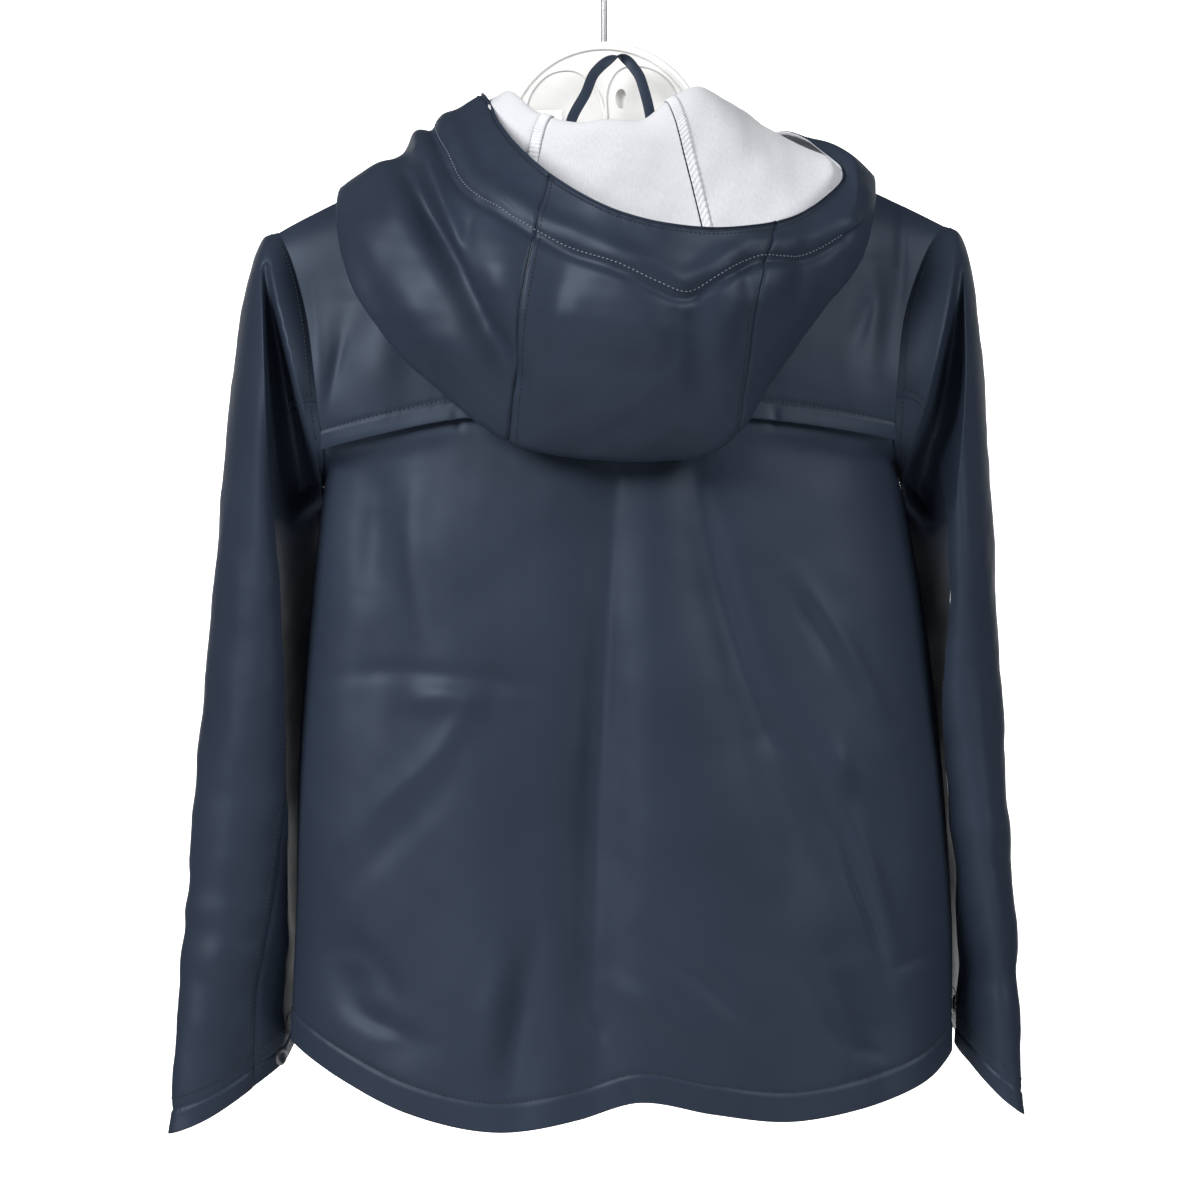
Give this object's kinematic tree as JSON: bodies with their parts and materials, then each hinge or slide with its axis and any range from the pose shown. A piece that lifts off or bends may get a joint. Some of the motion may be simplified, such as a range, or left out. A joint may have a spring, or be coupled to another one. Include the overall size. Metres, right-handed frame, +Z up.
{
  "type": "child's raincoat on a hanger",
  "caption": "Child's hooded raincoat of coated knit with press studs, hung on a moulded hanger with a wire hook.",
  "frame": {"origin": "top of the inside of the hanger hook's bend, where a rail carries it", "axes": "+Z up, -Y out of the coat's back, which the picture shows, and -X towards the wearer's left"},
  "size_m": [0.4405, 0.2172, 0.6552],
  "materials": {
    "coated_cloth": "matte, soft sheen",
    "knit_side": "matte knit",
    "thread": "matte",
    "label_tape": "satin weave",
    "press_stud": "gunmetal, semi-gloss",
    "hanger_plastic": "semi-gloss",
    "hook_wire": "polished"
  },
  "bodies": {
    "root": {"back_body": "coated_cloth", "back_yoke": "coated_cloth", "front_left": "coated_cloth", "front_right": "coated_cloth", "sleeve_upper_left": "coated_cloth", "sleeve_under_left": "coated_cloth", "sleeve_upper_right": "coated_cloth", "sleeve_under_right": "coated_cloth", "hood_left": "coated_cloth", "hood_centre": "coated_cloth", "hood_right": "coated_cloth", "hang_loop": "coated_cloth", "neck_label": "label_tape", "front_stud_1": "press_stud", "front_stud_2": "press_stud", "front_stud_3": "press_stud", "front_stud_4": "press_stud", "front_stud_5": "press_stud", "cuff_stud_left": "press_stud", "cuff_stud_right": "press_stud", "hanger_body": "hanger_plastic", "hanger_hook": "hook_wire"}
  },
  "joints": []
}
